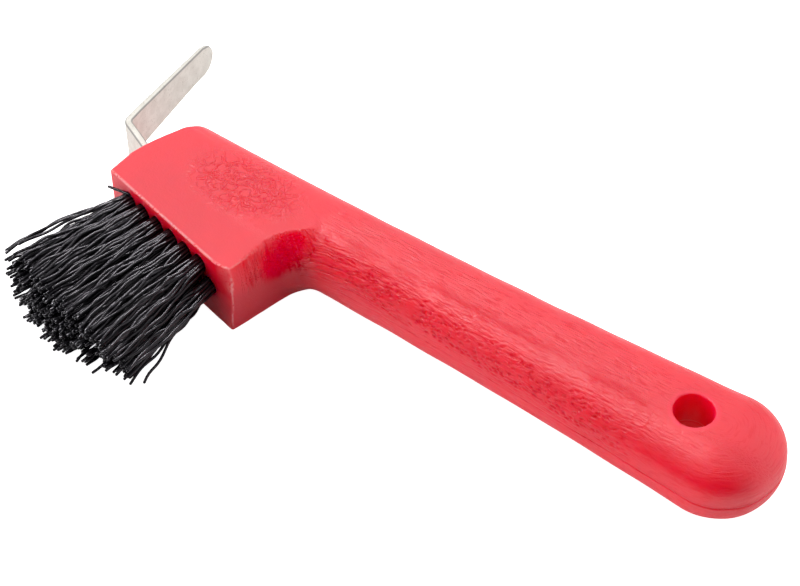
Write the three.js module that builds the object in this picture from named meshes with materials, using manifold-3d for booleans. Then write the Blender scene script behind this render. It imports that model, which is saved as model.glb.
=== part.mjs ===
// Hoof pick with a side brush: a moulded plastic handle, a bent steel pick and nineteen bristle
// tufts, each held at the bottom of its hole by a flat wire anchor.
//
// Millimetres, +Z up. The origin is on the flat underside of the head, on the centre line of the
// bar. +X runs along the bar to the butt, +Y is the side the pick points to, and the brush faces -Y.

import * as THREE from 'three';
import { ParametricGeometry } from 'three/addons/geometries/ParametricGeometry.js';
import { mergeVertices } from 'three/addons/utils/BufferGeometryUtils.js';
import Module from 'manifold-3d';

const wasm = await Module();
wasm.setup();

// Gap between a piece and the pocket it sits in.
const GAP = 0.3;

// Handle: overall thickness and the bar, a waisted grip with a soft oval section.
const THICKNESS = 18;
const MID_Z = THICKNESS / 2;
const BUTT_X = 140;
const BUTT_RADIUS = 14.3;
const BAR_START_X = -30;
const WAIST_X = 14.7;
const WAIST_HALF_WIDTH = 9.96;
const WIDENING = 0.000347;
const SECTION_POWER = 2.5;
const END_THINNING = 0.8;
const SECTION_SEGMENTS = 44;
const BAR_STATIONS = 13;
const BUTT_STATIONS = 9;

// Head block: the brush face runs from the far corner to the near corner.
const FAR_CORNER = new THREE.Vector2(-21.6, -17.45);
const FACE_LENGTH = 42.2;
const FACE_ANGLE = THREE.MathUtils.degToRad(-12.8);
const SHOULDER_ANGLE = THREE.MathUtils.degToRad(75.5);
const HEAD_INNER_Y = 2.5;
const HEAD_EDGE = 0.4;
const END_CORNER_RADIUS = 4;
const NECK_RADIUS = 6.5;
const NECK_EDGE = 4;
const NECK_LOW = 1.5;

// Hanging hole through the butt.
const HANGING_HOLE_X = 119.5;
const HANGING_HOLE_RADIUS = 4.3;

// Brush: three rows of blind holes, staggered. Each row gives its tuft count, height, and the place
// of its first hole and the hole spacing along the brush face. Then the same for the tuft tips.
const HOLE_RADIUS = 2.25;
const HOLE_DEPTH = 12;
const ROWS = [
  {
    name: 'top', count: 6, z: 13.4, first: 6.9, pitch: 5.12,
    tipZ: 13.0, tipFirst: 8.6, tipPitch: 5.7, length: 30.5,
  },
  {
    name: 'middle', count: 7, z: 9.0, first: 4.3, pitch: 5.25,
    tipZ: 8.3, tipFirst: 5.4, tipPitch: 5.55, length: 31.2,
  },
  {
    name: 'bottom', count: 6, z: 4.6, first: 6.9, pitch: 5.12,
    tipZ: 3.4, tipFirst: 7.6, tipPitch: 5.3, length: 31.5,
  },
];
const TUFT_RADIUS = HOLE_RADIUS - 0.35;
const TUFT_TIP_RADIUS = 2.35;
const TUFT_SEGMENTS = 14;

// Wire anchor across the fold of each tuft.
const ANCHOR_LENGTH = 2 * (HOLE_RADIUS - GAP);
const ANCHOR_DEPTH = 1.8;
const ANCHOR_THICKNESS = 0.4;
const ANCHOR_LIFT = 1.3;

// Pick: a strip bent in plan. The blade runs from the bend to the tip, the tang into the head.
const STRIP = 2.4;
const STRIP_WIDTH = 11.2;
const BEND = new THREE.Vector2(-34.3, 0.9);
const BLADE_LENGTH = 36.6;
const BLADE_ANGLE = THREE.MathUtils.degToRad(96.2);
const TANG_LENGTH = 35;
const TANG_ANGLE = THREE.MathUtils.degToRad(-15);
const BEND_RADIUS = 3.4;
const TIP_WIDTH = 4;
const TANG_HOLE_RADIUS = 2.6;
const TANG_HOLE_ALONG = 26;

// Helpers --------------------------------------------------------------------------------------

// Turns a closed geometry into a solid, dropping the empty triangles at poles.
function solid(geometry) {
  const plain = geometry.clone();
  plain.deleteAttribute('normal');
  plain.deleteAttribute('uv');
  const merged = mergeVertices(plain, 1e-5);
  const index = merged.index.array;
  const kept = [];
  for (let i = 0; i < index.length; i += 3) {
    const [a, b, c] = [index[i], index[i + 1], index[i + 2]];
    if (a !== b && b !== c && c !== a) kept.push(a, b, c);
  }
  return new wasm.Manifold(new wasm.Mesh({
    numProp: 3,
    vertProperties: new Float32Array(merged.attributes.position.array),
    triVerts: new Uint32Array(kept),
  }));
}

function mesh(name, body, material) {
  const data = body.getMesh();
  const geometry = new THREE.BufferGeometry();
  geometry.setAttribute('position', new THREE.BufferAttribute(data.vertProperties, 3));
  geometry.setIndex(new THREE.BufferAttribute(data.triVerts, 1));
  geometry.computeVertexNormals();
  const result = new THREE.Mesh(geometry, material);
  result.name = name;
  return result;
}

// A plan outline raised from low to high, with rounded or chamfered rims of the given size.
function prism(shape, low, high, edge = 0, steps = 1) {
  const geometry = new THREE.ExtrudeGeometry(shape, {
    depth: high - low - 2 * edge,
    bevelEnabled: edge > 0,
    bevelThickness: edge,
    bevelSize: edge,
    bevelOffset: -edge,
    bevelSegments: steps,
    curveSegments: 10,
  });
  geometry.translate(0, 0, low + edge);
  return solid(geometry);
}

function direction(angle) {
  return new THREE.Vector2(Math.cos(angle), Math.sin(angle));
}

function along(start, heading, distance) {
  return start.clone().addScaledVector(heading, distance);
}

// Frame of the brush face: along it, out of it, and up. Places a piece drawn on +Z into a hole.
const FACE = direction(FACE_ANGLE);
const OUTWARD = direction(FACE_ANGLE - Math.PI / 2);
const NEAR_CORNER = along(FAR_CORNER, FACE, FACE_LENGTH);

function onFace(s, z, out = 0) {
  const spot = along(along(FAR_CORNER, FACE, s), OUTWARD, out);
  return new THREE.Vector3(spot.x, spot.y, z);
}

// Moves a geometry drawn with +Z out of the hole and +X up the head to its place on the face.
function intoHole(geometry, s, z) {
  const basis = new THREE.Matrix4().makeBasis(
    new THREE.Vector3(0, 0, 1),
    new THREE.Vector3(-FACE.x, -FACE.y, 0),
    new THREE.Vector3(OUTWARD.x, OUTWARD.y, 0),
  );
  return geometry.clone().applyMatrix4(basis.setPosition(onFace(s, z)));
}

// Handle ---------------------------------------------------------------------------------------

function halfWidth(x) {
  return WAIST_HALF_WIDTH + WIDENING * (x - WAIST_X) ** 2;
}

// Stations along the bar: a flat start, an even run, then a round butt.
function barStations() {
  const runEnd = BUTT_X - BUTT_RADIUS;
  const stations = [{ x: BAR_START_X, size: 0 }];
  for (let i = 0; i < BAR_STATIONS; i += 1) {
    stations.push({ x: THREE.MathUtils.lerp(BAR_START_X, runEnd, i / BAR_STATIONS), size: 1 });
  }
  for (let i = 0; i <= BUTT_STATIONS; i += 1) {
    const turn = (Math.PI / 2) * (i / BUTT_STATIONS);
    stations.push({ x: runEnd + BUTT_RADIUS * Math.sin(turn), size: Math.cos(turn) });
  }
  stations[stations.length - 1].size = 0;
  return stations;
}

function bar() {
  const stations = barStations();
  const last = stations.length - 1;
  const soft = (value) => Math.sign(value) * Math.abs(value) ** (2 / SECTION_POWER);
  const point = (u, v, target) => {
    const { x, size } = stations[Math.round(v * last)];
    const turn = 2 * Math.PI * (Math.round(u * SECTION_SEGMENTS) % SECTION_SEGMENTS) / SECTION_SEGMENTS;
    const y = size * halfWidth(x) * soft(Math.cos(turn));
    const z = size ** END_THINNING * MID_Z * soft(Math.sin(turn));
    target.set(x, y, MID_Z + z);
  };
  return solid(new ParametricGeometry(point, SECTION_SEGMENTS, last));
}

// Block behind the brush face, with the shoulder on its near side.
function headBlock() {
  const shoulder = direction(SHOULDER_ANGLE);
  const rise = (HEAD_INNER_Y - NEAR_CORNER.y) / shoulder.y;
  const inner = along(NEAR_CORNER, shoulder, rise);
  const shape = new THREE.Shape([
    FAR_CORNER,
    NEAR_CORNER,
    inner,
    new THREE.Vector2(FAR_CORNER.x, HEAD_INNER_Y),
  ]);
  return prism(shape, 0, THICKNESS, HEAD_EDGE);
}

// Concave web between the shoulder and the near side of the bar. Its outline runs on just inside
// both of them, so that its rounded rims fade out there.
function neckWeb() {
  const shoulder = direction(SHOULDER_ANGLE);
  const away = new THREE.Vector2(shoulder.y, -shoulder.x);
  const sideY = -halfWidth(WAIST_X);
  const base = along(NEAR_CORNER, away, NECK_RADIUS);
  const centre = along(base, shoulder, (sideY - NECK_RADIUS - base.y) / shoulder.y);
  const overrun = 2 * NECK_EDGE;
  const onShoulder = along(along(centre, away, -NECK_RADIUS - 0.05), shoulder, -overrun);
  const inBlock = along(onShoulder, away, -2 * overrun);
  const shape = new THREE.Shape();
  shape.moveTo(centre.x + overrun, sideY + NECK_LOW);
  shape.lineTo(centre.x, sideY);
  shape.absarc(centre.x, centre.y, NECK_RADIUS, Math.PI / 2, SHOULDER_ANGLE + Math.PI / 2, false);
  shape.lineTo(onShoulder.x, onShoulder.y);
  shape.lineTo(inBlock.x, inBlock.y);
  shape.lineTo(inBlock.x, sideY + 2 * overrun);
  shape.lineTo(centre.x + overrun, sideY + 2 * overrun);
  return prism(shape, NECK_LOW, THICKNESS - NECK_LOW, NECK_EDGE, 6);
}

// Everything the moulding may fill in plan: only its end face and end corner cut anything.
function envelope() {
  const far = 30;
  const corner = new THREE.Vector2(-14.8, 10.3);
  const shape = new THREE.Shape();
  shape.moveTo(BUTT_X + far, -far * 2);
  shape.lineTo(BUTT_X + far, far);
  shape.lineTo(corner.x + END_CORNER_RADIUS, far);
  shape.lineTo(corner.x + END_CORNER_RADIUS, corner.y);
  const turn = along(corner, new THREE.Vector2(-0.35, -1), END_CORNER_RADIUS);
  shape.quadraticCurveTo(corner.x, corner.y, turn.x, turn.y);
  shape.lineTo(-18.1, 1.4);
  shape.quadraticCurveTo(-21.1, -5.6, FAR_CORNER.x, -10.5);
  shape.lineTo(FAR_CORNER.x, FAR_CORNER.y);
  shape.lineTo(FAR_CORNER.x, -far * 2);
  return prism(shape, -1, THICKNESS + 1);
}

function hangingHole() {
  const cutter = new THREE.CylinderGeometry(HANGING_HOLE_RADIUS, HANGING_HOLE_RADIUS, THICKNESS + 4, 40);
  cutter.rotateX(Math.PI / 2);
  cutter.translate(HANGING_HOLE_X, 0, MID_Z);
  return solid(cutter);
}

function tuftHole(s, z) {
  const cutter = new THREE.CylinderGeometry(HOLE_RADIUS, HOLE_RADIUS, HOLE_DEPTH + 2, 20);
  cutter.rotateX(Math.PI / 2);
  cutter.translate(0, 0, 1 - HOLE_DEPTH / 2);
  return solid(intoHole(cutter, s, z));
}

function handle(tufts) {
  let body = bar().add(headBlock()).add(neckWeb()).intersect(envelope());
  body = body.subtract(hangingHole());
  for (const tuft of tufts) body = body.subtract(tuftHole(tuft.s, tuft.z));
  body = body.subtract(tangPocket());
  return body;
}

// Pick -----------------------------------------------------------------------------------------

// Plan of the strip: its outer side runs tip, bend, tang end, and grow widens it on every side.
function stripShape(grow) {
  const blade = direction(BLADE_ANGLE);
  const tang = direction(TANG_ANGLE);
  const bladeIn = new THREE.Vector2(blade.y, -blade.x);
  const tangIn = new THREE.Vector2(-tang.y, tang.x);
  const half = (BLADE_ANGLE - TANG_ANGLE) / 2;
  const setback = (radius) => radius / Math.tan(half);
  const corner = (offset) => {
    const bisector = direction(TANG_ANGLE + half);
    return along(BEND, bisector, offset / Math.sin(half));
  };
  const outer = corner(-grow);
  const inner = corner(STRIP + grow);
  const outerBack = setback(BEND_RADIUS + grow);
  const innerBack = setback(BEND_RADIUS - STRIP - grow);
  const tip = along(BEND, blade, BLADE_LENGTH + grow);
  const end = along(BEND, tang, TANG_LENGTH + grow);
  const shape = new THREE.Shape();
  const lineTo = (spot) => shape.lineTo(spot.x, spot.y);
  const roundTo = (bend, spot) => shape.quadraticCurveTo(bend.x, bend.y, spot.x, spot.y);
  const start = along(tip, bladeIn, -grow);
  shape.moveTo(start.x, start.y);
  lineTo(along(outer, blade, outerBack));
  roundTo(outer, along(outer, tang, outerBack));
  lineTo(along(end, tangIn, -grow));
  lineTo(along(end, tangIn, STRIP + grow));
  lineTo(along(inner, tang, innerBack));
  roundTo(inner, along(inner, blade, innerBack));
  lineTo(along(tip, bladeIn, STRIP + grow));
  return shape;
}

// Side view of the pick along X: full width at the tang, tapering along Y to a rounded tip.
function taperCutter() {
  const wide = STRIP_WIDTH / 2;
  const tip = TIP_WIDTH / 2;
  const reach = BEND.y + BLADE_LENGTH * Math.sin(BLADE_ANGLE);
  const shape = new THREE.Shape();
  shape.moveTo(-15, -wide);
  shape.lineTo(BEND.y + 2, -wide);
  shape.lineTo(reach - tip, -tip);
  shape.absarc(reach - tip, 0, tip, -Math.PI / 2, Math.PI / 2, false);
  shape.lineTo(BEND.y + 2, wide);
  shape.lineTo(-15, wide);
  const geometry = new THREE.ExtrudeGeometry(shape, {
    depth: 60,
    bevelEnabled: false,
    curveSegments: 10,
  });
  geometry.applyMatrix4(new THREE.Matrix4().makeBasis(
    new THREE.Vector3(0, 1, 0),
    new THREE.Vector3(0, 0, 1),
    new THREE.Vector3(1, 0, 0),
  ));
  geometry.translate(-45, 0, MID_Z);
  return solid(geometry);
}

// Round bar across the tang: the hole in the steel, or the plastic that fills it.
function acrossTang(radius) {
  const tang = direction(TANG_ANGLE);
  const spot = along(BEND, tang, TANG_HOLE_ALONG);
  const cutter = new THREE.CylinderGeometry(radius, radius, STRIP * 4, 24);
  cutter.rotateZ(TANG_ANGLE);
  cutter.translate(spot.x - tang.y * STRIP / 2, spot.y + tang.x * STRIP / 2, MID_Z);
  return solid(cutter);
}

function pick() {
  const strip = prism(stripShape(0), MID_Z - STRIP_WIDTH / 2, MID_Z + STRIP_WIDTH / 2);
  return strip.intersect(taperCutter()).subtract(acrossTang(TANG_HOLE_RADIUS));
}

// Room for the tang in the head, with a post of plastic left through the hole in the tang.
function tangPocket() {
  const wide = STRIP_WIDTH / 2 + GAP;
  return prism(stripShape(GAP), MID_Z - wide, MID_Z + wide).subtract(acrossTang(TANG_HOLE_RADIUS - GAP));
}

// Brush ----------------------------------------------------------------------------------------

function tuftPlaces() {
  return ROWS.flatMap((row) => Array.from({ length: row.count }, (_, i) => ({
    name: `${row.name}_${i + 1}`,
    s: row.first + i * row.pitch,
    z: row.z,
    leanAlong: row.tipFirst - row.first + i * (row.tipPitch - row.pitch),
    leanUp: row.tipZ - row.z,
    length: row.length,
  })));
}

// One folded bundle of filaments: straight in its hole, fanning out and leaning towards its tip.
function tuft(place) {
  const bottom = GAP - HOLE_DEPTH;
  const profile = [
    [0, bottom],
    [TUFT_RADIUS - 0.6, bottom],
    [TUFT_RADIUS, bottom + 0.6],
    [TUFT_RADIUS, 0],
    [TUFT_TIP_RADIUS, place.length - 1],
    [TUFT_TIP_RADIUS - 0.5, place.length],
    [0, place.length],
  ].map(([radius, height]) => new THREE.Vector2(radius, height));
  const geometry = new THREE.LatheGeometry(profile, TUFT_SEGMENTS);
  geometry.rotateX(Math.PI / 2);
  const spots = geometry.attributes.position;
  for (let i = 0; i < spots.count; i += 1) {
    const share = Math.max(0, spots.getZ(i)) / place.length;
    spots.setX(i, spots.getX(i) + share * place.leanUp);
    spots.setY(i, spots.getY(i) - share * place.leanAlong);
  }
  const opening = new THREE.BoxGeometry(
    ANCHOR_THICKNESS + 2 * GAP,
    4 * TUFT_RADIUS,
    ANCHOR_DEPTH + 2 * GAP,
  );
  opening.translate(0, 0, ANCHOR_LIFT + ANCHOR_DEPTH / 2 - HOLE_DEPTH);
  const window = solid(intoHole(opening, place.s, place.z));
  return solid(intoHole(geometry, place.s, place.z)).subtract(window);
}

function anchor(place) {
  const wire = new THREE.BoxGeometry(ANCHOR_THICKNESS, ANCHOR_LENGTH, ANCHOR_DEPTH);
  wire.translate(0, 0, ANCHOR_LIFT + ANCHOR_DEPTH / 2 - HOLE_DEPTH);
  return solid(intoHole(wire, place.s, place.z));
}

// Materials ------------------------------------------------------------------------------------

function finish(name, color, roughness, metalness) {
  return new THREE.MeshStandardMaterial({ name, color, roughness, metalness });
}

function redPlastic() {
  return finish('red_plastic', 0xe8383f, 0.45, 0);
}

function pickSteel() {
  return finish('pick_steel', 0xc9c1ba, 0.4, 0.9);
}

function blackBristle() {
  return finish('black_bristle', 0x1c1b1e, 0.5, 0);
}

function anchorWire() {
  return finish('anchor_wire', 0xb9b4a6, 0.35, 1);
}

// Assembly -------------------------------------------------------------------------------------

function hoofPick() {
  const group = new THREE.Group();
  group.name = 'hoof_pick';
  const places = tuftPlaces();
  group.add(mesh('handle', handle(places), redPlastic()));
  group.add(mesh('pick', pick(), pickSteel()));
  for (const place of places) {
    group.add(mesh(`tuft_${place.name}`, tuft(place), blackBristle()));
    group.add(mesh(`tuft_anchor_${place.name}`, anchor(place), anchorWire()));
  }
  return group;
}

export default hoofPick();
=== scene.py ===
"""Hoof pick with a side brush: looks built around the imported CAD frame.

Helpers work in millimetres in the shared frame (+X along the bar to the butt, +Y the side the pick
points to, -Y the brush side, +Z up) and MM turns the finished meshes into metres.
"""

import math

import bpy
import numpy as np
from mathutils import Matrix, Vector


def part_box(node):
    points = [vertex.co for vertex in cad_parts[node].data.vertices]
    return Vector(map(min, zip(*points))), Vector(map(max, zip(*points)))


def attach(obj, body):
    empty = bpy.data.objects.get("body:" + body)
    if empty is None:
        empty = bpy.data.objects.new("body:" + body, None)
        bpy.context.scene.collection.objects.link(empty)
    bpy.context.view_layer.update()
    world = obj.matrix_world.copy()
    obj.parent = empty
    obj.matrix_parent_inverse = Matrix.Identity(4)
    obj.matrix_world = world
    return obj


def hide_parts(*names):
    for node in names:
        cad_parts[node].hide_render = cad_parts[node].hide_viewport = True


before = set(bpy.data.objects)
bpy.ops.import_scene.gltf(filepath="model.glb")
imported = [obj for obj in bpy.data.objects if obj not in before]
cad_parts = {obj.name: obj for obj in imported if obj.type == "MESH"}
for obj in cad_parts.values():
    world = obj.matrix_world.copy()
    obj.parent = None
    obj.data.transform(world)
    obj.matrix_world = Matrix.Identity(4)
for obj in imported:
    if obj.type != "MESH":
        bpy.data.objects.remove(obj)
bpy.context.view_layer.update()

MM = 0.001
SEED = 11  # for the bristles, which are the only random part


def box_mm(node):
    low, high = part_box(node)
    return np.array(low) / MM, np.array(high) / MM


def direction(degrees):
    return np.array([math.cos(math.radians(degrees)), math.sin(math.radians(degrees))])


# Handle: its overall sizes come from the frame, and the rest shape its outline --------------------

HANDLE_LOW, HANDLE_HIGH = box_mm("handle")
MID_Z = (HANDLE_LOW[2] + HANDLE_HIGH[2]) / 2
HALF_THICKNESS = (HANDLE_HIGH[2] - HANDLE_LOW[2]) / 2
BUTT_RADIUS = 14.3
RUN_END = HANDLE_HIGH[0] - BUTT_RADIUS
WAIST_X = 14.7
WAIST_HALF_WIDTH = 9.96
WIDENING = 0.000347
SECTION_POWER = 2.5
END_THINNING = 0.2

FACE_TILT = -12.8
FACE = direction(FACE_TILT)
OUTWARD = direction(FACE_TILT - 90)
FAR_CORNER = np.array([HANDLE_LOW[0], -17.45])
FACE_LENGTH = 42.2
NEAR_CORNER = FAR_CORNER + FACE_LENGTH * FACE
SHOULDER_ANGLE = 75.5
SHOULDER = direction(SHOULDER_ANGLE)
AWAY = np.array([SHOULDER[1], -SHOULDER[0]])
NECK_RADIUS = 6.5

# Head: the near corner is cut back along the brush face, more so higher up, and the shoulder
# stands out at its foot and leans back above its knee.
CUT_BACK_FROM = 38.3
CUT_BACK_LOW, CUT_BACK_HIGH = 0.12, 0.24
SHOULDER_FOOT = 1.0
SHOULDER_KNEE_Z = 11.9
SHOULDER_LEAN = 0.56
HEAD_INNER_Y = 6.0
HEAD_EDGE = 0.4

# End of the head in plan: a shallow bow, then a round far corner.
END_BOW = ((HANDLE_LOW[0], -10.5), (-21.1, -5.6), (-18.1, 1.4))
END_CORNER = ((-16.4, 6.3), (-15.1, 10.5), (-10.8, 10.5))

HANGING_HOLE_X = 119.5
HANGING_HOLE_RADIUS = 4.3
GATE_MARK = (111.5, -7.6)
GATE_MARK_RADIUS = 1.6

# Line that the deep fillet under the shoulder's rim runs along.
FILLET_FROM = np.array([21.0, -14.0, 12.0])
FILLET_TO = np.array([25.0, -3.0, 15.0])

# The lower half of the moulding stands a little proud of the upper one, and more so at the butt.
PROUD, MORE_PROUD_AT_BUTT = 0.03, 0.11

# Tuft holes.
HOLE_RADIUS = 2.25
HOLE_DEPTH = 12

# Pick: a strip bent in plan, with the heights of its two edges against Y, and its pocket's room.
STRIP = 1.8
STRIP_AT_TIP = 1.15
STRIP_EDGE = 0.4
BEND = np.array([-32.65, -0.9])
BEND_RADIUS = 2.5
BLADE_ANGLE = 98.8
BLADE = direction(BLADE_ANGLE)
BLADE_LENGTH = 38.6
TANG_ANGLE = -24
TANG = direction(TANG_ANGLE)
TANG_LENGTH = 16
TANG_LOW, TANG_HIGH = 4.2, 14.6
TANG_ROOM = 0.15
UPPER_EDGE = ((-2, 4, 37), (14.9, 14.55, 11.0))
LOWER_EDGE = ((-2, 7, 21, 26, 31, 37), (3.8, 3.8, 3.5, 3.4, 3.1, 2.5))
TIP_RADIUS = 4.0


# Meshing ------------------------------------------------------------------------------------------


def smooth(value, low, high):
    """0 below low and 1 above high, with a soft step between them."""
    t = np.clip((value - low) / (high - low), 0, 1)
    return t * t * (3 - 2 * t)


def ramp(value, softness):
    """0 below zero and the value above it, with a rounded start."""
    return (value + np.sqrt(value**2 + softness)) / 2


def meet(a, b, r):
    """Where both distances are inside, with an edge of radius r."""
    outer = np.hypot(np.maximum(a + r, 0), np.maximum(b + r, 0))
    return np.minimum(-r, np.maximum(a, b)) + outer


def join(a, b, r):
    """Where either distance is inside, with a fillet of radius r."""
    inner = np.hypot(np.maximum(r - a, 0), np.maximum(r - b, 0))
    return np.maximum(r, np.minimum(a, b)) - inner


def surface(field, axes, place):
    """Dual mesh of field = 0 on a bent grid: points in mm and quads that face outwards."""
    x, y, z = place(*np.meshgrid(*axes, indexing="ij"))
    value = field(x, y, z)
    inside = value < 0
    corners = np.array([[i, j, k] for i in (0, 1) for j in (0, 1) for k in (0, 1)])
    count = sum(
        inside[i:inside.shape[0] - 1 + i, j:inside.shape[1] - 1 + j, k:inside.shape[2] - 1 + k]
        .astype(np.int8)
        for i, j, k in corners
    )
    active = (count > 0) & (count < 8)
    number = np.full(active.shape, -1)
    cells = np.argwhere(active)
    number[active] = np.arange(len(cells))
    at = tuple(np.moveaxis(cells[:, None] + corners, -1, 0))
    spots = np.stack([x[at], y[at], z[at]], -1).astype(float)
    values = value[at].astype(float)
    total = np.zeros((len(cells), 3))
    crossings = np.zeros(len(cells))
    for a in range(8):
        for b in range(a + 1, 8):
            if np.abs(corners[a] - corners[b]).sum() != 1:
                continue
            cut = (values[:, a] < 0) != (values[:, b] < 0)
            share = np.where(cut, values[:, a] / (values[:, a] - values[:, b] + 1e-30), 0)
            spot = spots[:, a] + share[:, None] * (spots[:, b] - spots[:, a])
            total[cut] += spot[cut]
            crossings += cut
    quads = []
    for k in range(3):
        a, b = (k + 1) % 3, (k + 2) % 3
        low, high = [slice(1, -1)] * 3, [slice(1, -1)] * 3
        low[k], high[k] = slice(0, -1), slice(1, None)
        edges = np.argwhere(inside[tuple(low)] != inside[tuple(high)])
        edges[:, [a, b]] += 1
        ring = []
        for da, db in ((-1, -1), (0, -1), (0, 0), (-1, 0)):
            cell = edges.copy()
            cell[:, a] += da
            cell[:, b] += db
            ring.append(number[tuple(cell.T)])
        quad = np.stack(ring, 1)
        leaving = inside[tuple(edges.T)]
        quads.append(np.where(leaving[:, None], quad, quad[:, ::-1]))
    return total / crossings[:, None], np.concatenate(quads)


def slopes(field, points, step=0.03):
    """Gradient of the field at every point."""
    gradient = np.empty_like(points)
    for k in range(3):
        shift = np.zeros(3)
        shift[k] = step
        gradient[:, k] = (field(*(points + shift).T) - field(*(points - shift).T)) / (2 * step)
    return gradient


def settle(field, points):
    """Moves points onto field = 0 and returns them with the surface normals there."""
    for _ in range(3):
        gradient = slopes(field, points)
        square = np.maximum((gradient**2).sum(1), 0.05)
        move = -(field(*points.T) / square)[:, None] * gradient
        length = np.linalg.norm(move, axis=1, keepdims=True)
        points = points + move * np.minimum(1, 0.3 / np.maximum(length, 1e-9))
    gradient = slopes(field, points)
    return points, gradient / np.linalg.norm(gradient, axis=1, keepdims=True)


def make_object(name, points, faces, smooth_faces=True):
    mesh = bpy.data.meshes.new(name)
    mesh.from_pydata((np.asarray(points) * MM).tolist(), [], faces)
    mesh.validate()
    mesh.polygons.foreach_set("use_smooth", [smooth_faces] * len(mesh.polygons))
    item = bpy.data.objects.new(name, mesh)
    bpy.context.scene.collection.objects.link(item)
    return item


def store(item, name, values):
    """Saves one number or one vector per vertex for the material to read."""
    values = np.asarray(values, np.float32)
    kind, key = ("FLOAT", "value") if values.ndim == 1 else ("FLOAT_VECTOR", "vector")
    attribute = item.data.attributes.new(name, kind, "POINT")
    attribute.data.foreach_set(key, values.ravel())


# Handle shape -------------------------------------------------------------------------------------


def half_width(x):
    return WAIST_HALF_WIDTH + WIDENING * (x - WAIST_X) ** 2


def rim_share(x, y):
    """0 on the bar's centre line and 1 at its rim, running round the butt."""
    u = np.maximum(0, (x - RUN_END) / BUTT_RADIUS)
    return np.hypot(u, y / half_width(x))


def bar_field(x, y, z):
    """Distance to the grip: a soft oval section that closes in a round, thinning butt."""
    power = SECTION_POWER
    width = half_width(x)
    a = np.abs(y) / width + 1e-5
    b = np.abs(z - MID_Z) / HALF_THICKNESS + 1e-5
    size = np.hypot(a, b)
    for _ in range(6):
        size = (a**power + (b * size**END_THINNING) ** power) ** (1 / power)
    slope = np.hypot(
        a ** (power - 1) / width,
        b ** (power - 1) * size ** (END_THINNING * power) / HALF_THICKNESS,
    )
    lost = END_THINNING * b**power * size ** (END_THINNING * power - 1)
    slope = slope / np.maximum(size ** (power - 1) - lost, 1e-4)
    u = np.maximum(0, (x - RUN_END) / BUTT_RADIUS)
    whole = np.hypot(u, size)
    steepness = np.hypot(u / BUTT_RADIUS, size * slope) / whole
    return (whole - 1) / np.maximum(steepness, 0.04)


def end_line():
    """X of the end face against Y: flat by the brush, sloping back, then round the far corner."""
    t = np.linspace(0, 1, 20)[:, None]

    def curve(a, b, c):
        return (1 - t) ** 2 * np.array(a) + 2 * t * (1 - t) * np.array(b) + t**2 * np.array(c)

    flat_from = [[HANDLE_LOW[0], -60.0]]
    x, y = END_CORNER[-1]
    side = [[x, y + 0.05], [x, 60.0]]
    return np.concatenate([flat_from, curve(*END_BOW), curve(*END_CORNER)[:-1], side])


END_LINE = end_line()
END_Y = np.linspace(-40, 25, 1301)
END_X = np.interp(END_Y, END_LINE[:, 1], END_LINE[:, 0])
END_SLOPE = np.gradient(END_X, END_Y)


def end_field(x, y):
    """Distance beyond the end face of the head."""
    slope = np.interp(y, END_Y, END_SLOPE)
    return (np.interp(y, END_Y, END_X) - x) / np.sqrt(1 + slope**2)


def face_place(x, y):
    """Distance along the brush face from the far corner, and out of it."""
    dx, dy = x - FAR_CORNER[0], y - FAR_CORNER[1]
    return dx * FACE[0] + dy * FACE[1], dx * OUTWARD[0] + dy * OUTWARD[1]


def shoulder_place(x, y):
    """Distance along the shoulder from the near corner, and out of it."""
    dx, dy = x - NEAR_CORNER[0], y - NEAR_CORNER[1]
    return dx * SHOULDER[0] + dy * SHOULDER[1], dx * AWAY[0] + dy * AWAY[1]


def head_field(x, y, z):
    """Distance to the block behind the brush face."""
    along, out = face_place(x, y)
    share = CUT_BACK_LOW * smooth(z, 0, 9) + CUT_BACK_HIGH * smooth(z, 9, 17)
    face = out + ramp(along - CUT_BACK_FROM, 0.6) * share
    inward, away = shoulder_place(x, y)
    lean = SHOULDER_LEAN * ramp(z - SHOULDER_KNEE_Z, 2.2) * (0.34 + 0.66 * smooth(inward, -2, 17))
    wall = meet(face, away - SHOULDER_FOOT + lean, HEAD_EDGE)
    wall = meet(wall, y - HEAD_INNER_Y - 1.6 * (1 - smooth(x, -14, 0)), HEAD_EDGE)
    slab = np.abs(z - MID_Z) - HALF_THICKNESS
    round_shoulder = 0.8 * smooth(inward, 2, 14) * smooth(away, -6, -3)
    round_back = 4.6 * smooth(y, -2, 1)
    return meet(wall, slab, HEAD_EDGE + round_shoulder + round_back)


def tuft_holes():
    """Root and tip centres of every tuft, measured on its CAD node."""
    places = {}
    for name in sorted(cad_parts):
        if name.startswith("tuft_") and "anchor" not in name:
            places[name] = tuft_ends(name)
    return places


def tuft_ends(name):
    """Root and tip centres of a tuft as (along the face, out of it, up)."""
    spots = np.array([v.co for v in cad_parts[name].data.vertices], float) / MM
    along, out = face_place(spots[:, 0], spots[:, 1])
    local = np.stack([along, out, spots[:, 2]], 1)
    base = local[out < out.min() + 0.05].mean(0)
    tip = local[out > out.max() - 0.05].mean(0)
    return np.array([base[0], 0, base[2]]), tip


TUFTS = tuft_holes()


def hole_field(x, y, z):
    """Distance to the nearest tuft hole; negative inside a hole."""
    along, out = face_place(x, y)
    nearest = np.full(np.shape(x), 50.0)
    for root, _ in TUFTS.values():
        radial = np.hypot(along - root[0], z - root[2]) - HOLE_RADIUS
        nearest = np.minimum(nearest, radial)
    return meet(nearest, -out - HOLE_DEPTH, 0.3)


def tang_field(x, y, z):
    """Distance to the pocket that holds the pick's tang."""
    dx, dy = x - BEND[0], y - BEND[1]
    along = dx * TANG[0] + dy * TANG[1]
    across = np.abs(-dx * TANG[1] + dy * TANG[0] - STRIP / 2) - STRIP / 2 - TANG_ROOM
    high = np.abs(z - (TANG_LOW + TANG_HIGH) / 2) - (TANG_HIGH - TANG_LOW) / 2 - TANG_ROOM
    return meet(meet(across, high, 0.3), along - TANG_LENGTH - TANG_ROOM, 0.1)


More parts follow.
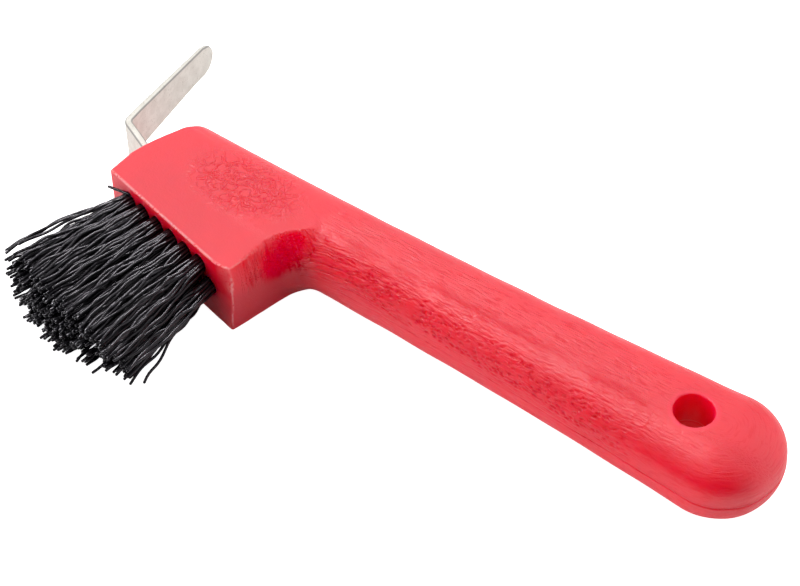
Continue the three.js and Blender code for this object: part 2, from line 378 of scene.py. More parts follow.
def beyond_hanging_hole(x, y):
    """Distance out from the wall of the hanging hole."""
    return np.hypot(x - HANGING_HOLE_X, y) - HANGING_HOLE_RADIUS


def waviness(x, y, z):
    """Slow hollows and swellings of a moulding that cooled unevenly."""
    return (
        0.05 * np.sin(0.19 * x + 0.5 * z + 1.0) * np.sin(0.23 * y + 0.11 * x)
        + 0.035 * np.sin(0.41 * x - 0.37 * z + 0.6 * y)
    )


def handle_field(x, y, z):
    """Distance to the whole moulding: bar, head and neck fillet, less its holes and pocket."""
    proud = PROUD + MORE_PROUD_AT_BUTT * smooth(x, 95, 122)
    bar = bar_field(x, y, z) - proud * smooth(MID_Z - z, -0.12, 0.12) + proud / 2
    neck = smooth(-y, -1.5, 6) * smooth(x, 3, 11) * (0.6 + 0.4 * smooth(z, 0, 6))
    body = join(head_field(x, y, z), bar, 0.03 + NECK_RADIUS * neck)
    body = meet(body, np.abs(z - MID_Z) - HALF_THICKNESS, 0.3)
    body = meet(body, end_field(x, y), 0.5)
    body = body + waviness(x, y, z) * smooth(x, 18, 40)
    body = meet(body, -beyond_hanging_hole(x, y), 0.35)
    near = np.asarray(x < 26)
    if np.any(near):
        spots = (x[near], y[near], z[near])
        cut = meet(body[near], -hole_field(*spots), 0.15)
        body[near] = meet(cut, -tang_field(*spots), 0.2)
    return body


def bent_grid(u, v, w):
    """Grid lines follow the brush face and shoulder in the head, and the bar beyond it."""
    tilt = -math.tan(math.radians(FACE_TILT))
    start, span = 14, 16
    t = np.clip((u - start) / span, 0, 1)
    straight = u - span * (t**3 - t**4 / 2) - np.maximum(0, u - start - span)
    return u + tilt * v * (1 - smooth(u, 20, 45)), v - tilt * straight, w


def handle_grid():
    """Grid lines in mm: closer at the head and butt, and closest at the parting line."""
    fine, coarse = ((0.43, 0.9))
    u = np.concatenate([
        np.arange(-28, 32, fine),
        np.arange(32, 106, coarse),
        np.arange(106, HANDLE_HIGH[0] + 1.5, fine),
    ])
    v = np.arange(-35, 22, fine)
    w = np.concatenate([
        np.arange(-0.9, MID_Z - 0.5, fine),
        np.arange(MID_Z - 0.5, MID_Z + 0.5, 0.16),
        np.arange(MID_Z + 0.5, 2 * MID_Z + 1.2, fine),
    ])
    return [axis.astype(np.float32) for axis in (u, v, w)]


def mark_relief(item, points, normals):
    """Where each kind of relief in the moulded skin lies, and which way it runs."""
    x, y, z = points.T
    _, ny, nz = normals.T
    inward, away = shoulder_place(x, y)
    near = smooth(-ny, -0.1, 0.2)

    rim = rim_share(x, y) * half_width(x)
    climb = 7 * (1 - np.exp(-np.maximum(0, x - 21) / 11)) * near * smooth(-y, 0, 6)
    store(item, "flow", np.stack([x, rim, z - climb], 1))
    store(item, "side", y * 0.12)

    # Long fine lines on the bar, fainter on its far side and at the butt.
    lines = (0.35 + 0.65 * smooth(x, 20, 45)) * smooth(nz, -0.25, 0.2) * smooth(x, 20, 30)
    lines = lines * (1 - 0.75 * smooth(ny, 0.1, 0.6) * (x < 118))
    lines = lines * (1 - 0.55 * smooth(x, 104, 122))
    store(item, "lines", lines * smooth(beyond_hanging_hole(x, y), 0.3, 1.5))

    # Swirls on the flat top of the head.
    from_middle = np.hypot((x - 6) / 18, (y + 3) / 11)
    store(item, "swirls", smooth(nz, 0.8, 0.97) * (1 - smooth(from_middle, 0.45, 1.0)))

    # Furrows that sweep out of the neck, on the near side.
    sweep = smooth(x, 20, 24) * (1 - smooth(x, 42, 52)) * near * smooth(nz, 0.02, 0.25)
    store(item, "sweep", sweep * (1 - smooth(nz, 0.85, 0.98)))

    # Torn pits along the near upper side of the bar.
    scales = near * smooth(nz, 0.0, 0.3) * (1 - smooth(nz, 0.72, 0.93))
    store(item, "scales", scales * smooth(x, 30, 48) * (1 - smooth(x, 104, 116)))

    # Creases that run down the shoulder.
    flank = smooth(away, -3.4, -2.2) * (1 - smooth(away, 3.5, 7)) * smooth(-y, 2, 7)
    creases = flank * smooth(z, 8, 12) * smooth(inward, 1.5, 6)
    store(item, "creases", creases * (1 - smooth(nz, 0.9, 0.99)))
    store(item, "across_shoulder", inward + 0.15 * away)

    # Parting line round the side, and the ring left by the gate.
    store(item, "parting", np.exp(-(((z - MID_Z - 0.12) / 0.16) ** 2)) * smooth(x, 60, 118))
    from_gate = np.hypot(x - GATE_MARK[0], y - GATE_MARK[1])
    ring = np.exp(-(((from_gate - GATE_MARK_RADIUS) / 0.3) ** 2))
    store(item, "gate", ring * smooth(nz, 0.3, 0.5))


def mark_wear_and_painted_light(item, points, normals):
    """Pale rims that are partly wear and partly painted highlight, and where painted shade, duller
    gloss and painted glow through the plastic go.
    """
    x, y, z = points.T
    nx, ny, nz = normals.T
    _, out = face_place(x, y)
    inward, away = shoulder_place(x, y)
    facing_out = nx * OUTWARD[0] + ny * OUTWARD[1]
    facing_away = nx * AWAY[0] + ny * AWAY[1]
    at_face = smooth(out, -1.8, -0.9)

    # Pale rims: wear along the brush face's top edge and near corner, painted highlight along the
    # top edges of the end and of the shoulder by the neck.
    brush_edge = smooth(np.minimum(facing_out, nz), 0.06, 0.3) * at_face * smooth(z, 9, 12)
    corner = smooth(np.minimum(facing_out, facing_away), 0.2, 0.6) * at_face
    end_rim_highlight = smooth(np.minimum(-nx, nz), 0.2, 0.6) * smooth(end_field(x, y), -0.8, -0.3)
    neck_rim_highlight = smooth(np.minimum(facing_away, nz), 0.2, 0.6) * smooth(away, -3, -1)
    neck_rim_highlight = neck_rim_highlight * (1 - smooth(inward, 3, 12))
    wear_and_rim_highlight = brush_edge + 0.7 * corner + 0.5 * end_rim_highlight + 0.5 * neck_rim_highlight
    store(item, "wear_and_rim_highlight", np.clip(wear_and_rim_highlight, 0, 1))

    # Painted shade on the lower shoulder by the neck, and fainter on the brush face.
    under_shoulder = smooth(facing_away, 0.2, 0.7) * (1 - smooth(z, 8, 15)) * (1 - smooth(x, 34, 44))
    painted_shade = under_shoulder + 0.5 * smooth(facing_out, 0.5, 0.9) * at_face
    store(item, "painted_shade", np.clip(painted_shade, 0, 1))

    # Painted red glow and duller gloss in the deep fillet under the shoulder's rim.
    run = FILLET_TO - FILLET_FROM
    share = np.clip((points - FILLET_FROM) @ run / (run @ run), 0, 1)
    gap = np.linalg.norm(points - FILLET_FROM - share[:, None] * run, axis=1)
    store(item, "painted_fillet_glow", (1 - smooth(gap, 2.5, 6)) * (1 - smooth(nz, 0.7, 0.92)))
    # Painted glow of light through the plastic inside the hanging hole.
    store(item, "painted_hole_glow", 1 - smooth(beyond_hanging_hole(x, y), 0.4, 1.4))


def moulded_handle():
    points, quads = surface(handle_field, handle_grid(), bent_grid)
    points, normals = settle(handle_field, points)
    item = make_object("moulded_handle", points, quads.tolist())
    item.data.normals_split_custom_set_from_vertices(normals.tolist())
    mark_relief(item, points, normals)
    mark_wear_and_painted_light(item, points, normals)
    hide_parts("handle")
    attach(item, "root")
    item.data.materials.append(red_plastic())
    return item


# Pick shape ---------------------------------------------------------------------------------------


def pick_path():
    """Centre line of the strip from the tang's end to the tip, and the way its thickness faces."""
    half = math.radians(BLADE_ANGLE - TANG_ANGLE) / 2
    bisector = direction((BLADE_ANGLE + TANG_ANGLE) / 2)
    corner = BEND + bisector * (STRIP / 2) / math.sin(half)
    centre = corner + bisector * BEND_RADIUS / math.sin(half)
    setback = BEND_RADIUS / math.tan(half)
    tang_from = BEND + TANG * TANG_LENGTH + np.array([-TANG[1], TANG[0]]) * STRIP / 2
    tang_to = corner + TANG * setback
    blade_from = corner + BLADE * setback
    tip = BEND + BLADE * BLADE_LENGTH + np.array([BLADE[1], -BLADE[0]]) * STRIP_AT_TIP / 2
    straight = [tang_from + (tang_to - tang_from) * t for t in np.linspace(0, 1, 16)]
    start = math.atan2(*(tang_to - centre)[::-1])
    turn = (math.atan2(*(blade_from - centre)[::-1]) - start + math.pi) % (2 * math.pi) - math.pi
    arc = [centre + BEND_RADIUS * direction(math.degrees(start + turn * t))
           for t in np.linspace(0, 1, 18)[1:-1]]
    closer_at_tip = 1 - (1 - np.linspace(0, 1, 70)) ** 1.6
    blade = [blade_from + (tip - blade_from) * t for t in closer_at_tip]
    path = np.array(straight + arc + blade)
    heading = np.gradient(path, axis=0)
    heading /= np.linalg.norm(heading, axis=1, keepdims=True)
    return path, np.stack([-heading[:, 1], heading[:, 0]], 1)


def steel_pick():
    """The strip: a rounded rectangle swept along its path, tapered and rounded off at the tip."""
    path, side = pick_path()
    y = path[:, 1]
    upper, lower = np.interp(y, *UPPER_EDGE), np.interp(y, *LOWER_EDGE)
    reach = y[-1]
    past = np.maximum(0, y - reach + TIP_RADIUS)
    round_end = np.sqrt(np.clip(TIP_RADIUS**2 - past**2, 0.04, None))
    wide = np.where(past > 0, np.minimum((upper - lower) / 2, round_end), (upper - lower) / 2)
    thin = np.interp(y, [-1, reach], [STRIP, STRIP_AT_TIP]) / 2 - 0.2 * smooth(y, reach - 3, reach)
    section = []
    for k, (sx, sz) in enumerate(((1, 1), (-1, 1), (-1, -1), (1, -1))):
        for turn in np.linspace(0, 90, 5):
            angle = math.radians(k * 90 + turn)
            section.append((sx, sz, math.cos(angle), math.sin(angle)))
    section = np.array(section)
    r = np.minimum(STRIP_EDGE, np.minimum(wide, thin) * 0.85)[:, None]
    offset_side = section[:, 0] * (thin[:, None] - r) + section[:, 2] * r
    offset_up = section[:, 1] * (wide[:, None] - r) + section[:, 3] * r
    points = np.concatenate([
        path[:, None, :] + side[:, None, :] * offset_side[..., None],
        (((upper + lower) / 2)[:, None] + offset_up)[..., None],
    ], axis=2)
    stations, ring = points.shape[:2]
    index = np.arange(stations * ring).reshape(stations, ring)
    after = np.roll(index, -1, axis=1)
    quads = np.stack([index[:-1], after[:-1], after[1:], index[1:]], -1).reshape(-1, 4)
    faces = quads[:, ::-1].tolist() + [index[0].tolist(), index[-1][::-1].tolist()]
    item = make_object("steel_pick", points.reshape(-1, 3), faces)
    trim = np.abs(section[:, 2] * section[:, 3]) > 0.05
    store(item, "trim", np.tile(trim, stations))
    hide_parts("pick")
    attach(item, "root")
    item.data.materials.append(pick_steel())
    return item


# Bristles -----------------------------------------------------------------------------------------

STRAND_RADIUS = 0.34
LOWEST_STRAND = STRAND_RADIUS + 0.1
STRAND_SIDES = 7
STRAND_END = 0.72
PAIRS_PER_TUFT = 13
BUNDLE_RADIUS = 1.78
FOLD_OUT = 0.9 - HOLE_DEPTH

# The spread of a tuft at its tips as a multiple of its spread in the hole, then how much single
# strands stray from that, bend on their way and differ in length.
TIP_SPREAD = 1.75
AIM_ERROR = 0.9
BEND_ERROR = 2.0
LENGTH_ERROR = 0.55
MEAN_WEAR = 0.35

# Filaments bent away from their tuft: leg, strand, then how far the end moves along the face,
# up, and how much longer it is.
STRAYS = {
    "tuft_top_1": (
        (0, 2, -5.4, 0.6, 2.6), (0, 5, -4.6, 1.0, 0.6), (0, 8, -4.0, 0.4, -1.0),
        (1, 4, -3.4, 0.8, 0.0), (0, 11, -3.0, 0.8, -2.0),
    ),
    "tuft_middle_1": ((0, 3, -2.4, 2.0, 0.5), (0, 7, -1.8, 1.2, -1.5)),
    "tuft_bottom_6": (
        (1, 3, 7.4, -1.4, -3.2), (1, 7, 4.8, -1.2, -1.8), (1, 10, 3.0, -1.4, -3.0),
        (0, 4, 3.2, 0.4, 1.0), (1, 12, 3.2, -1.8, -4.0), (1, 11, 2.4, -1.8, -3.4),
    ),
    "tuft_middle_7": ((1, 5, 3.6, -2.0, 0.0), (0, 9, 3.0, -1.0, 0.5)),
}

# One upper leg is pulled aside: its tuft, its strand, and where its end lies.
LOOSE_TUFT, LOOSE_STRAND, LOOSE_END = "tuft_top_1", 12, (1.0, 1.6, 14.5)


def from_face(local):
    """Turns (along the face, out of it, up) into X, Y and Z."""
    flat = FAR_CORNER + local[..., :1] * FACE + local[..., 1:2] * OUTWARD
    return np.concatenate([flat, local[..., 2:3]], -1)


def tubes(paths, radius):
    """Strands along paths of shape (strands, rings, 3), closed and a little thinner at each end."""
    strands, rings = paths.shape[:2]
    heading = np.gradient(paths, axis=1)
    heading /= np.linalg.norm(heading, axis=2, keepdims=True)
    up = np.tile([0.3, 0.2, 1.0], (strands, 1))
    turn = np.linspace(0, 2 * math.pi, STRAND_SIDES, endpoint=False)
    thickness = np.full((strands, rings), radius)
    thickness[:, [0, -1]] *= STRAND_END
    points = np.empty((strands, rings, STRAND_SIDES, 3))
    for j in range(rings):
        ahead = heading[:, j]
        up = up - (up * ahead).sum(1, keepdims=True) * ahead
        up /= np.linalg.norm(up, axis=1, keepdims=True)
        side = np.cross(ahead, up)
        ring = up[:, None] * np.cos(turn)[:, None] + side[:, None] * np.sin(turn)[:, None]
        points[:, j] = paths[:, j, None] + thickness[:, j, None, None] * ring
    index = np.arange(strands * rings * STRAND_SIDES).reshape(strands, rings, STRAND_SIDES)
    after = np.roll(index, -1, axis=2)
    quads = np.stack([index[:, :-1], after[:, :-1], after[:, 1:], index[:, 1:]], -1)
    faces = quads.reshape(-1, 4).tolist()
    faces += index[:, 0, ::-1].tolist() + index[:, -1].tolist()
    return points.reshape(-1, 3), faces


def strand_legs(rng, root, tip, lengths, offsets):
    """Paths of filaments from the fold to their cut ends, as (along, out, up)."""
    count = len(offsets)
    reach = tip[1] + lengths
    share = np.append(np.linspace(0, 1, 34), 1.0035)
    out = FOLD_OUT + share * (reach[:, None] - FOLD_OUT)
    free = np.clip(out / tip[1], 0, 1.2)
    lean = (tip - root)[[0, 2]]
    aim = offsets * TIP_SPREAD + rng.normal(0, AIM_ERROR, (count, 2))
    bend = rng.normal(0, BEND_ERROR, (count, 2))
    centre = np.array([root[0], root[2]])
    flat = (
        centre
        + offsets[:, None]
        + free[..., None] * (lean + aim - offsets)[:, None]
        + (free * (1 - free))[..., None] * bend[:, None]
    )
    # Each strand is crimped in both directions, by two waves of its own that fade in past the face.
    phase = rng.uniform(0, 2 * math.pi, (count, 2))
    wave = rng.uniform(5.0, 13.0, (count, 2))
    size = rng.uniform(0.012, 0.034, (count, 2)) * wave
    grown = smooth(out, 1, 7)
    for k in range(2):
        sway = np.sin(2 * math.pi * out / wave[:, k, None] + phase[:, k, None])
        drift = np.sin(2 * math.pi * out / (2.4 * wave[:, k, None]) + phase[:, 1 - k, None])
        flat[..., k] += grown * size[:, k, None] * (sway + 0.9 * drift)
    return np.stack([flat[..., 0], out, np.maximum(flat[..., 1], LOWEST_STRAND)], -1)


def tuft_offsets(rng):
    """Places of the upper legs in the hole, as (along the face, up)."""
    k = np.arange(2 * PAIRS_PER_TUFT) + 0.6
    distance = BUNDLE_RADIUS * np.sqrt(k / (2 * PAIRS_PER_TUFT))
    turn = k * math.pi * (3 - math.sqrt(5))
    spots = np.stack([distance * np.cos(turn), distance * np.sin(turn)], 1)
    spots = spots[np.argsort(spots[:, 1])][PAIRS_PER_TUFT:]
    spots[:, 1] = np.maximum(spots[:, 1], 0.55)
    return spots + rng.normal(0, 0.04, spots.shape)


def worn_tip(root, tip):
    """Tip centre after use: both ends of the brush splay and the far end is shorter.

    The lowest tufts hang down a little, and by the shoulder they are the shortest.
    """
    by_shoulder = smooth(root[0], 21, 35)
    low = smooth(MID_Z + 3 - root[2], 0, 3)
    by_end = 1 - smooth(root[0], 4, 12)
    along = 1.6 * by_shoulder - 0.8 * by_end
    out = -1.9 * by_end + 0.9 * low * (1 - by_shoulder) - 3.6 * low * by_shoulder
    return tip + [along, out, -0.6 * low]


def pull_aside(strand, end):
    """Bends a leg over where it leaves the face, so that it runs straight to its end from there."""
    inside = strand[strand[:, 1] < 0.5]
    share = np.linspace(0, 1, len(strand) - len(inside) + 1)[1:, None]
    strand[len(inside):] = inside[-1] + share * (end - inside[-1])


def bristle_tuft(node, root, tip, rng):
    """Filaments folded in the hole: an upper and a lower leg each, joined by a small bend."""
    upper = tuft_offsets(rng)
    lower = upper * [1, -1] + rng.normal(0, 0.04, upper.shape)
    legs = []
    for offsets in (upper, lower):
        lengths = rng.normal(0, LENGTH_ERROR, len(offsets)) - MEAN_WEAR
        legs.append(strand_legs(rng, root, worn_tip(root, tip), lengths, offsets))
    first, second = legs
    for leg, strand, sideways, upward, longer in STRAYS.get(node, ()):
        free = np.clip(legs[leg][strand, :, 1:2] / tip[1], 0, None)
        legs[leg][strand] += free**0.75 * [sideways, longer, upward]
        legs[leg][strand, :, 2] = np.maximum(legs[leg][strand, :, 2], LOWEST_STRAND)
    if node == LOOSE_TUFT:
        pull_aside(first[LOOSE_STRAND], LOOSE_END)
    turn = np.linspace(0, math.pi, 7)[1:-1]
    middle = (first[:, :1] + second[:, :1]) / 2
    reach = (first[:, :1] - second[:, :1]) / 2
    fold = middle + reach * np.cos(turn)[None, :, None]
    fold[..., 1] -= np.minimum(0.55, np.abs(reach[..., 2])) * np.sin(turn)
    paths = np.concatenate([first[:, ::-1], fold, second], 1)
    points, faces = tubes(from_face(paths), STRAND_RADIUS)
    item = make_object(node.replace("tuft_", "bristles_"), points, faces)
    per_strand = paths.shape[1] * STRAND_SIDES
    store(item, "tone", np.repeat(rng.uniform(0, 1, len(paths)), per_strand))
    return item


def bristles():
    rng = np.random.default_rng(SEED)
    material = black_bristle()
    items = []
    for node, (root, tip) in TUFTS.items():
        item = bristle_tuft(node, root, tip, rng)
        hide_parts(node)
        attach(item, "root")
        item.data.materials.append(material)
        items.append(item)
    return items


# Materials ----------------------------------------------------------------------------------------


class Nodes:
    """Adds nodes to a tree; values that are sockets are linked and the others are set."""

    def __init__(self, tree):
        self.tree = tree
        tree.nodes.clear()

    def add(self, kind, inputs=None, out=0, **settings):
        node = self.tree.nodes.new("ShaderNode" + kind)
        for key, value in settings.items():
            setattr(node, key, value)
        for key, value in (inputs or {}).items():
            if isinstance(value, bpy.types.NodeSocket):
                self.tree.links.new(value, node.inputs[key])
            else:
                node.inputs[key].default_value = value
        return node.outputs[out] if node.outputs else None

    def math(self, operation, *values):
        return self.add("Math", dict(enumerate(values)), operation=operation)

    def multiply(self, *values):
        result = values[0]
        for value in values[1:]:
            result = self.math("MULTIPLY", result, value)
        return result

    def total(self, *values):
        result = values[0]
        for value in values[1:]:
            result = self.math("ADD", result, value)
        return result

    def number(self, name):
        return self.add("Attribute", out="Fac", attribute_name=name)

    def vector(self, name):
        return self.add("Attribute", out="Vector", attribute_name=name)

    def stretch(self, vector, amounts):
        return self.add("VectorMath", {0: vector, 1: amounts}, operation="MULTIPLY")

    def shift(self, vector, other):
        return self.add("VectorMath", {0: vector, 1: other}, operation="ADD")

    def place(self):
        """X, Y and Z in millimetres."""
        coordinates = self.add("TexCoord", out="Object")
        return self.stretch(coordinates, (1 / MM, 1 / MM, 1 / MM))

    def noise(self, vector, scale, detail=2.0, distortion=0.0, w=None):
        inputs = {"Vector": vector, "Scale": scale, "Detail": detail, "Distortion": distortion}
        if w is None:
            return self.add("TexNoise", inputs)
        return self.add("TexNoise", inputs | {"W": w}, noise_dimensions="4D")

    def remap(self, value, low, high, new_low=0.0, new_high=1.0):
        inputs = {
            "Value": value, "From Min": low, "From Max": high,
            "To Min": new_low, "To Max": new_high,
        }
        return self.add("MapRange", inputs, interpolation_type="SMOOTHSTEP")

    def groove(self, value, width):
        """1 on the line where a noise passes its middle, falling to 0 within width."""
        from_middle = self.math("ABSOLUTE", self.math("SUBTRACT", value, 0.5))
        return self.remap(from_middle, 0.0, width, 1.0, 0.0)

    def mix(self, share, first, second):
        inputs = {0: share, 6: first, 7: second}
        return self.add("Mix", inputs, out=2, data_type="RGBA")


def new_material(name):
    material = bpy.data.materials.new(name)
    material.use_nodes = True
    return material, Nodes(material.node_tree)


def finish_material(nodes, color, roughness, height, **inputs):
    """Principled surface with relief given in millimetres."""
    bump = nodes.add("Bump", {"Height": height, "Distance": MM, "Strength": 1.0})
    values = {"Base Color": color, "Roughness": roughness, "Normal": bump}
    values |= {key.replace("_", " "): value for key, value in inputs.items()}
    shader = nodes.add("BsdfPrincipled", values)
    nodes.add("OutputMaterial", {"Surface": shader})


def along_grain(n, flow, place):
    """The flow coordinates with a slow sideways drift."""
    drift = n.add("TexNoise", {"Vector": place, "Scale": 0.16}, out=1)
    return n.shift(flow, n.stretch(drift, (0, 1.6, 1.6)))


def moulded_skin(n, place):
    """Relief of the moulding in millimetres, and the painted shade that each spot gets in its
    hollows.
    """
    grain = along_grain(n, n.vector("flow"), place)
    lines, sweep = n.number("lines"), n.number("sweep")

    streak = n.noise(n.stretch(grain, (0.16, 1, 1)), 2.2, 2.0, 0.0, n.number("side"))
    streak = n.math("SUBTRACT", streak, 0.5)
    strength = n.remap(n.noise(place, 0.12, 2.0), 0.3, 0.65, 0.4, 1.0)
    furrow = n.groove(n.noise(n.stretch(grain, (0.04, 1, 1)), 0.8, 1.0), 0.09)

    patch = n.remap(n.noise(place, 0.1, 1.0), 0.22, 0.42)
    jumble = n.add("TexNoise", {"Vector": place, "Scale": 0.9}, out=1)
    torn_at = n.shift(n.stretch(grain, (0.6, 1, 1)), n.stretch(jumble, (0.5, 0.5, 0.5)))
    dimple = n.add("TexVoronoi", {"Vector": torn_at, "Scale": 1.05})
    gaps = n.remap(n.noise(torn_at, 0.7, 1.0), 0.26, 0.42)
    pits = n.multiply(n.remap(dimple, 0.12, 0.58, 1.0, 0.0), gaps, n.number("scales"), patch)

    swirl = n.groove(n.noise(n.stretch(place, (0.75, 1, 1)), 0.7, 1.5, 0.7), 0.09)

    across = n.add("CombineXYZ", {0: n.number("across_shoulder")})
    pleats = n.noise(n.shift(n.stretch(place, (0, 0, 0.16)), across), 1.0, 2.0, 0.5)
    creases = n.number("creases")

    height = n.total(
        n.multiply(streak, lines, strength, 0.38),
        n.multiply(furrow, sweep, -0.34),
        n.multiply(pits, -0.42),
        n.multiply(swirl, n.number("swirls"), 0.24),
        n.multiply(n.math("SUBTRACT", pleats, 0.5), creases, 0.75),
        n.multiply(n.noise(place, 2.6, 2.0), 0.05),
        n.multiply(n.noise(place, 0.5, 2.0), 0.05),
        n.multiply(n.number("parting"), -0.1),
        n.multiply(n.number("gate"), 0.07),
    )
    # Painted shade in the hollows: pits, creases, furrows and the low sides of the streaks.
    cavity_shade = n.total(
        n.multiply(pits, 0.8),
        n.multiply(n.remap(pleats, 0.36, 0.52, 1.0, 0.0), creases, 0.6),
        n.multiply(furrow, sweep, 0.6),
        n.multiply(n.remap(streak, -0.16, 0.0, 1.0, 0.0), lines, 0.55),
    )
    return height, n.math("MINIMUM", cavity_shade, 1.0)


def red_plastic():
    """Satin red moulding with painted shade and duller gloss in its hollows and under the shoulder,
    painted glow in the neck fillet and the hanging hole, and pale rims of wear and painted
    highlight.
    """
    material, n = new_material("red_plastic")
    place = n.place()
    height, cavity_shade = moulded_skin(n, place)
    painted_fillet_glow, painted_shade = n.number("painted_fillet_glow"), n.number("painted_shade")
    worn_and_highlit = n.multiply(n.number("wear_and_rim_highlight"), n.remap(n.noise(place, 1.7, 3.0), 0.3, 0.5))

    shade = n.remap(n.noise(place, 0.09, 3.0), 0.3, 0.7)
    body = n.mix(shade, (0.87, 0.0015, 0.028, 1), (0.82, 0.001, 0.025, 1))
    # Painted shade in the hollows of the relief.
    body = n.mix(cavity_shade, body, (0.73, 0.0005, 0.02, 1))
    # Painted red glow in the fillet under the shoulder's rim.
    body = n.mix(painted_fillet_glow, body, (1.0, 0.001, 0.045, 1))
    # Painted shade under the shoulder and on the brush face.
    body = n.mix(n.multiply(painted_shade, 0.5), body, (0.45, 0.0005, 0.018, 1))
    # Painted glow inside the hanging hole.
    body = n.mix(n.number("painted_hole_glow"), body, (1.0, 0.001, 0.05, 1))
    # Pale rims: wear on the brush face's edges, painted highlight on the end's and shoulder's top
    # edges.
    body = n.mix(n.multiply(worn_and_highlit, 0.7), body, (0.95, 0.46, 0.46, 1))

    # Gloss is lowered where shade and glow are painted.
    dulled = n.total(n.multiply(cavity_shade, 0.6), n.multiply(painted_fillet_glow, 0.75), n.multiply(painted_shade, 0.3))
    gloss = n.math("MAXIMUM", n.math("SUBTRACT", 0.85, dulled), 0.0)
    scuffs = n.remap(n.noise(n.stretch(place, (0.5, 2.5, 1)), 0.5, 5.0), 0.55, 0.75)
    roughness = n.total(0.33, n.multiply(scuffs, 0.1), n.multiply(worn_and_highlit, 0.15))
    finish_material(
        n, body, roughness, height, Specular_IOR_Level=gloss,
        Subsurface_Weight=1.0, Subsurface_Radius=(1.0, 0.04, 0.07), Subsurface_Scale=4.5 * MM,
    )
    return material


def pick_steel():
    material, n = new_material("pick_steel")
    place = n.place()
    drawn = n.noise(n.stretch(place, (3, 0.25, 1.5)), 1.2, 4.0)
    blotch = n.noise(place, 0.45, 3.0, 0.5)
    pits = n.remap(n.noise(place, 2.2, 2.0), 0.62, 0.72)
    color = n.mix(n.remap(blotch, 0.3, 0.7), (0.78, 0.75, 0.7, 1), (0.7, 0.67, 0.62, 1))
    color = n.mix(n.multiply(n.number("trim"), 0.85), color, (0.3, 0.29, 0.28, 1))
    color = n.mix(n.multiply(pits, 0.35), color, (0.25, 0.21, 0.18, 1))
    roughness = n.total(0.36, n.multiply(blotch, 0.22), n.multiply(pits, 0.2))
    height = n.total(n.multiply(drawn, 0.012), n.multiply(blotch, 0.03), n.multiply(pits, -0.02))
    finish_material(n, color, roughness, height, Metallic=0.45)
    return material


def black_bristle():
    material, n = new_material("black_bristle")
    place, tone = n.place(), n.number("tone")
    haze = n.noise(place, 0.8, 2.0)
    color = n.mix(n.multiply(tone, haze), (0.004, 0.0035, 0.005, 1), (0.02, 0.018, 0.023, 1))
    roughness = n.total(0.13, n.multiply(tone, 0.12))
    height = n.multiply(n.noise(place, 1.4, 2.0), 0.04)
    finish_material(n, color, roughness, height, Specular_IOR_Level=0.36,
                    Specular_Tint=(1.0, 0.95, 1.04, 1))
    return material


def anchor_wire():
    material, n = new_material("anchor_wire")
    place = n.place()
    drawn = n.noise(n.stretch(place, (0.4, 3, 3)), 2.0, 3.0)
    color = n.mix(drawn, (0.62, 0.58, 0.5, 1), (0.48, 0.44, 0.38, 1))
    finish_material(n, color, n.total(0.25, n.multiply(drawn, 0.2)), n.multiply(drawn, 0.01),
                    Metallic=1.0)
    return material


def anchors():
    material = anchor_wire()
    for name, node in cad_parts.items():
        if name.startswith("tuft_anchor_"):
            node.data.materials.clear()
            node.data.materials.append(material)
            bevel = node.modifiers.new("rounded wire edges", "BEVEL")
            bevel.width = 0.1 * MM
            bevel.segments = 3


# Studio -------------------------------------------------------------------------------------------

CAMERA_TARGET = np.array([48.88, -3.304, 10.0])
CAMERA_DISTANCE = 416.71
CAMERA_AZIMUTH = 34.945
CAMERA_ELEVATION = 47.53
CAMERA_ROLL = 1.028
CAMERA_LENS = 85.98


def camera():
    azimuth, elevation = math.radians(CAMERA_AZIMUTH), math.radians(CAMERA_ELEVATION)
    roll = math.radians(CAMERA_ROLL)
    back = Vector((
        math.sin(azimuth) * math.cos(elevation),
        -math.cos(azimuth) * math.cos(elevation),
        math.sin(elevation),
    ))
    level = Vector((math.cos(azimuth), math.sin(azimuth), 0))
    upright = back.cross(level)
    right = level * math.cos(roll) + upright * math.sin(roll)
    up = back.cross(right)
    spot = (Vector(CAMERA_TARGET) + back * CAMERA_DISTANCE) * MM
    data = bpy.data.cameras.new("camera")
    data.lens = CAMERA_LENS
    data.sensor_width = 36
    data.clip_start = 0.01
    item = bpy.data.objects.new("camera", data)
    item.matrix_world = Matrix((
        (right.x, up.x, back.x, spot.x),
        (right.y, up.y, back.y, spot.y),
        (right.z, up.z, back.z, spot.z),
        (0, 0, 0, 1),
    ))
    bpy.context.scene.collection.objects.link(item)
    bpy.context.scene.camera = item


def floor():
    """Plain white table: the camera sees it evenly lit, and it throws softer light back."""
    size = 20000
    corners = [(-size, -size, 0), (size, -size, 0), (size, size, 0), (-size, size, 0)]
    item = make_object("floor", corners, [(0, 1, 2, 3)], False)
    item.location.z = -0.05 * MM
    material, n = new_material("floor_white")
    seen = n.add("LightPath", out="Is Camera Ray")
    far = n.add("VectorMath", {0: n.place()}, 1, operation="LENGTH")
    bounced = n.remap(far, 180.0, 420.0, 0.08, 0.04)
    glow = n.add("Mix", {0: seen, 2: bounced, 3: 1.0})
    diffuse = n.add("BsdfDiffuse", {"Color": (0.85, 0.85, 0.85, 1)})
    light = n.add("Emission", {"Color": (1, 1, 1, 1), "Strength": glow})
    shader = n.add("AddShader", {0: diffuse, 1: light})
    n.add("OutputMaterial", {"Surface": shader})
    item.data.materials.append(material)


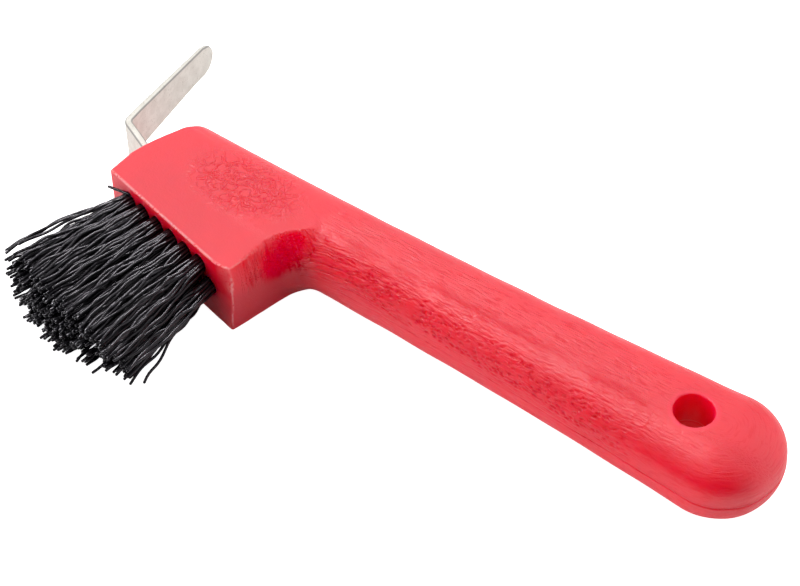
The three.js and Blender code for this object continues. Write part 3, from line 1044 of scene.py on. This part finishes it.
def sky():
    """Broad soft glows, one for each (heading, start and full cosine around it, strength)."""
    glows = (
        ((-0.602, 0.201, 0.773), 0.2, 0.74, 0.9),
        ((-0.387, 0.128, 0.913), 0.93, 1.0, 1.5),
        ((-0.2, 0.8, 0.57), 0.55, 0.95, 0.3),
        ((0.8, 0.57, 0.2), 0.55, 0.95, 1.1),
    )
    world = bpy.data.worlds.new("studio")
    world.use_nodes = True
    n = Nodes(world.node_tree)
    looking = n.add("TexCoord", out="Generated")
    strength = 0.02
    for heading, start, full, level in glows:
        cosine = n.add("VectorMath", {0: looking, 1: heading}, 1, operation="DOT_PRODUCT")
        strength = n.total(strength, n.remap(cosine, start, full, 0.0, level))
    light = n.add("Background", {"Color": (1, 1, 0.985, 1), "Strength": strength})
    n.add("OutputWorld", {"Surface": light})
    bpy.context.scene.world = world


def area_light(name, size, power, distance, towards, height=None):
    """A square lamp, or a strip when height is given, aimed at the middle of the bar."""
    data = bpy.data.lights.new(name, "AREA")
    data.size = size
    if height:
        data.shape = "RECTANGLE"
        data.size_y = height
    data.energy = power
    item = bpy.data.objects.new(name, data)
    target = Vector((50 * MM, 0, 0))
    item.location = target + distance * Vector(towards).normalized()
    item.rotation_euler = (target - item.location).to_track_quat("-Z", "Y").to_euler()
    bpy.context.scene.collection.objects.link(item)
    return item


def lights(strands):
    """A small key, two fills that show in no reflection, and strips that glint on strands."""
    area_light("key", 0.08, 0.5, 0.65, (-0.387, 0.109, 0.917))
    fill = area_light("fill", 0.5, 4.0, 0.9, (-0.62, -0.74, 0.26))
    fill.visible_glossy = False
    side = area_light("side", 0.5, 0.8, 0.9, (0.75, 0.5, 0.42))
    side.visible_glossy = False
    lit = bpy.data.collections.new("strands under the glints")
    for item in strands:
        lit.objects.link(item)
    for name, power, towards in (
        ("glint_above", 5.5, (-0.387, 0.554, 0.8)),
        ("glint_left", 7.0, (-0.9, -0.2, 0.45)),
    ):
        glint = area_light(name, 0.06, power, 0.65, towards, 0.45)
        glint.visible_diffuse = False
        glint.light_linking.receiver_collection = lit


def main():
    moulded_handle()
    steel_pick()
    strands = bristles()
    anchors()
    floor()
    sky()
    lights(strands)
    camera()
    bpy.context.scene.view_settings.view_transform = "Standard"


main()
